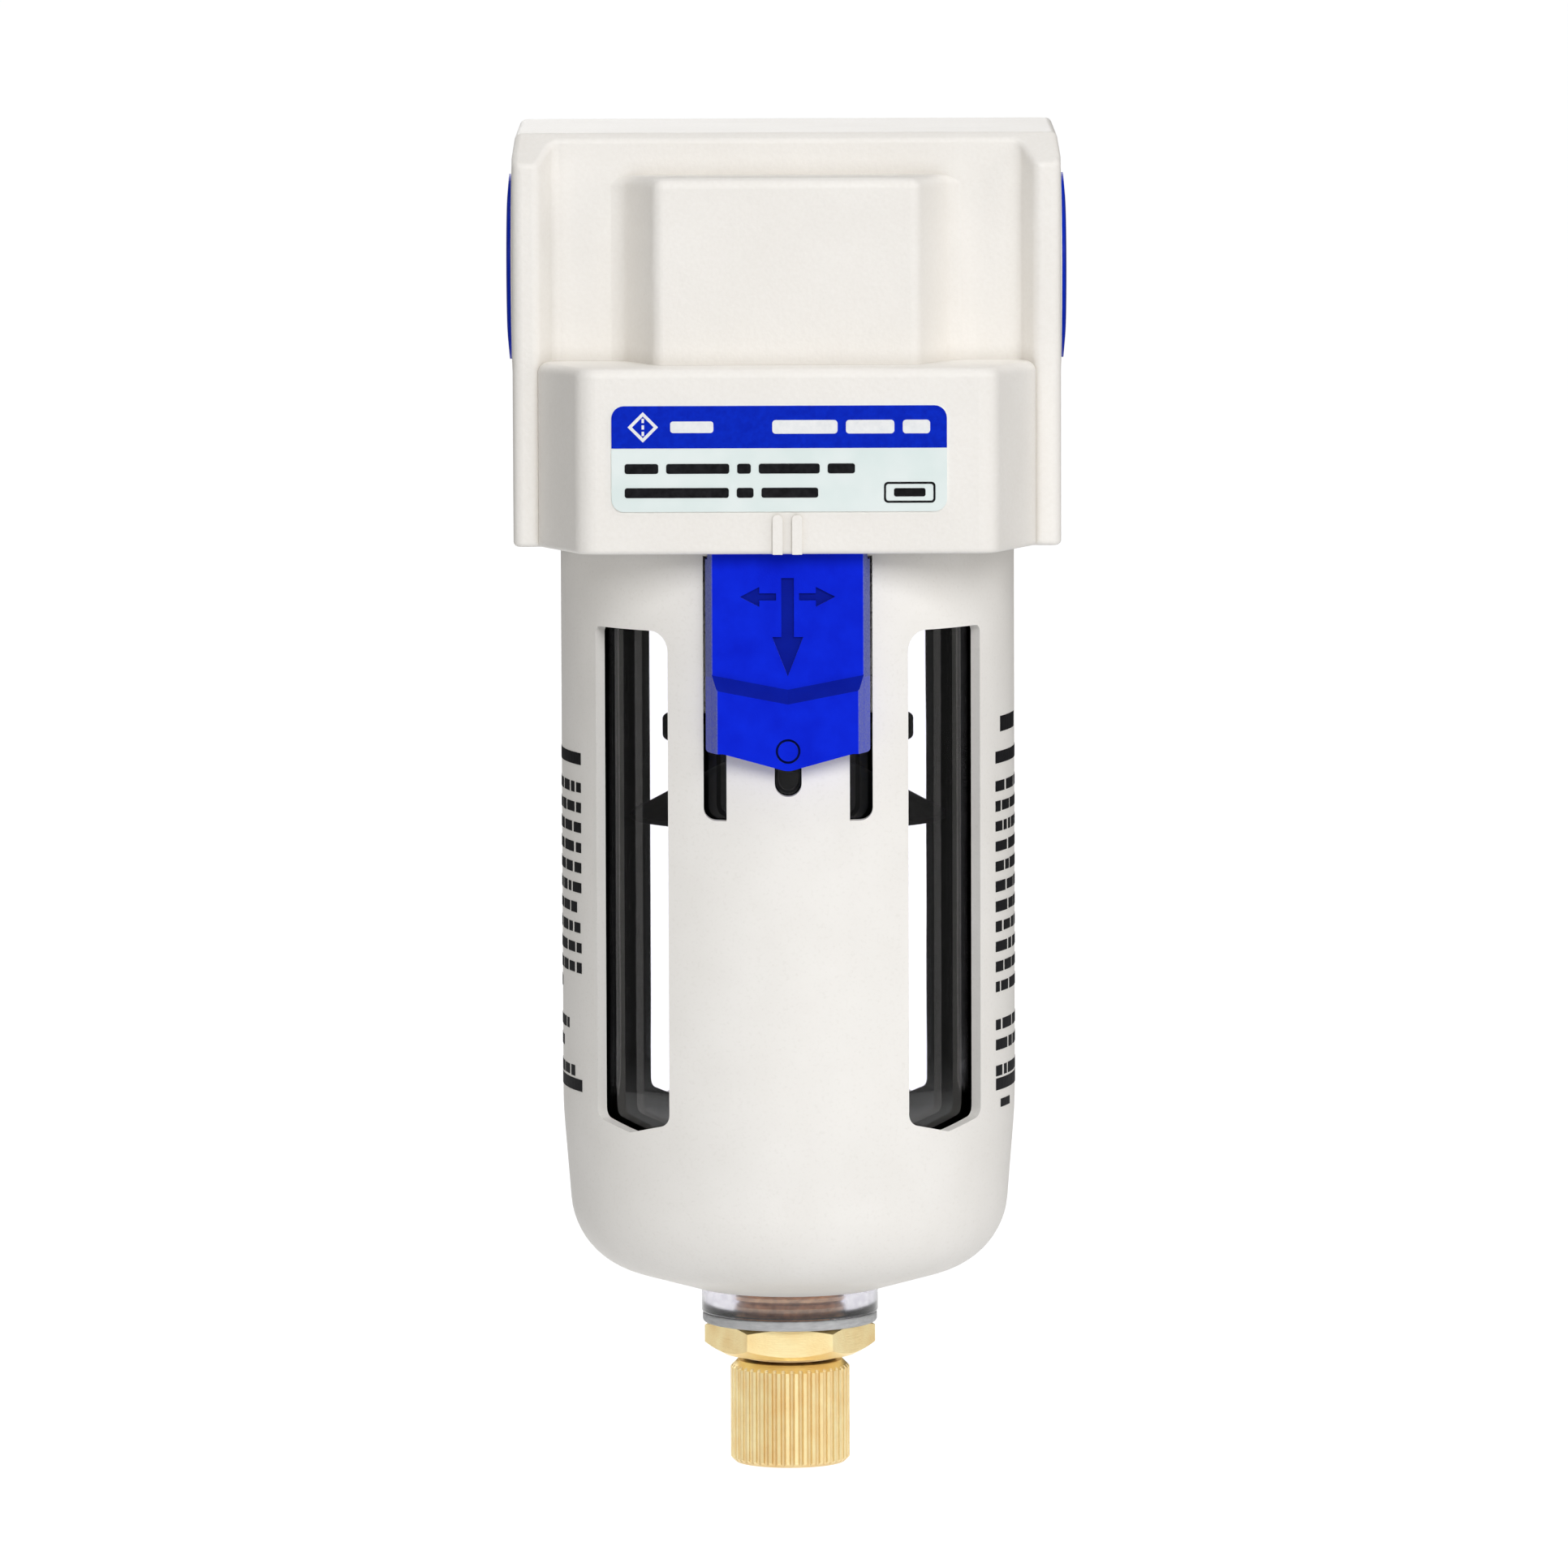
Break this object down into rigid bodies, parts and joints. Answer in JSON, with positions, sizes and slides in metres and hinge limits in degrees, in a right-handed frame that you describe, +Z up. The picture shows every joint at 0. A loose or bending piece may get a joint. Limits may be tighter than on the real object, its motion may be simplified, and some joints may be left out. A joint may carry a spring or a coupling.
{
  "type": "compressed air filter",
  "caption": "Modular compressed air filter: cast body with threaded ports, guarded clear bowl on a bayonet, lock button, filter element and manual drain.",
  "frame": {"origin": "on the bowl's axis, level with the bottom of the drain knob", "axes": "+Z up along the bowl's axis, +X along the port axis towards the outlet, the name label and the lock button face -Y"},
  "size_m": [0.054, 0.0524, 0.1305],
  "materials": {
    "cast_body": "off-white powder coat over a die casting, fine texture",
    "label_film": "printed film, satin",
    "plug_blue": "moulded, semi-gloss",
    "button_blue": "moulded, fine texture",
    "spring_steel": "drawn wire",
    "zinc_steel": "zinc plated",
    "black_moulding": "moulded, matte",
    "element_resin": "porous, open grain",
    "seal_rubber": "smooth",
    "clear_bowl": "clear polycarbonate, polished",
    "guard_white": "moulded, white outside and black inside",
    "grey_washer": "matte",
    "turned_brass": "turned, bright"
  },
  "bodies": {
    "filter_head": {"body": "cast_body", "name_label": "label_film", "deflector": "black_moulding", "element_top_gasket": "seal_rubber", "filter_element": "element_resin", "element_bottom_gasket": "seal_rubber", "element_stud": "zinc_steel", "baffle": "black_moulding"},
    "bowl_assembly": {"bowl": "clear_bowl", "bowl_o_ring": "seal_rubber", "bowl_guard": "guard_white", "lock_spring": "spring_steel", "drain_body": "turned_brass", "drain_body_o_ring": "seal_rubber", "drain_gasket": "grey_washer", "drain_nut": "turned_brass"},
    "button": {"lock_button": "button_blue"},
    "valve_seal": {"drain_valve_seal": "seal_rubber"},
    "knob": {"drain_knob": "turned_brass"},
    "inlet_plug": {"inlet_port_plug": "plug_blue"},
    "outlet_plug": {"outlet_port_plug": "plug_blue"}
  },
  "joints": [
    {"name": "bowl_turn", "type": "hinge", "parent": "filter_head", "child": "bowl_assembly", "pos_m": [0, 0, 0.1], "axis": [0, 0, 1], "range_deg": [-45, 45]},
    {"name": "button_slide", "type": "slide", "parent": "bowl_assembly", "child": "button", "axis": [0, 0, -1], "range_m": [0, 0.003], "stiffness_N_per_m": 400, "springref_m": -0.004, "deforming": ["lock_spring"]},
    {"name": "drain_lift", "type": "slide", "parent": "bowl_assembly", "child": "valve_seal", "axis": [0, 0, -1], "range_m": [0, 0.0015]},
    {"name": "drain_turn", "type": "hinge", "parent": "valve_seal", "child": "knob", "pos_m": [0, 0, 0.005], "axis": [0, 0, -1], "range_deg": [0, 540]},
    {"name": "inlet_plug_pull", "type": "slide", "parent": "filter_head", "child": "inlet_plug", "axis": [-1, 0, 0], "range_m": [0, 0.05]},
    {"name": "outlet_plug_pull", "type": "slide", "parent": "filter_head", "child": "outlet_plug", "axis": [1, 0, 0], "range_m": [0, 0.05]}
  ],
  "couplings": [
    {"joint": "drain_turn", "follows": "drain_lift", "rad_per_m": 6283}
  ]
}
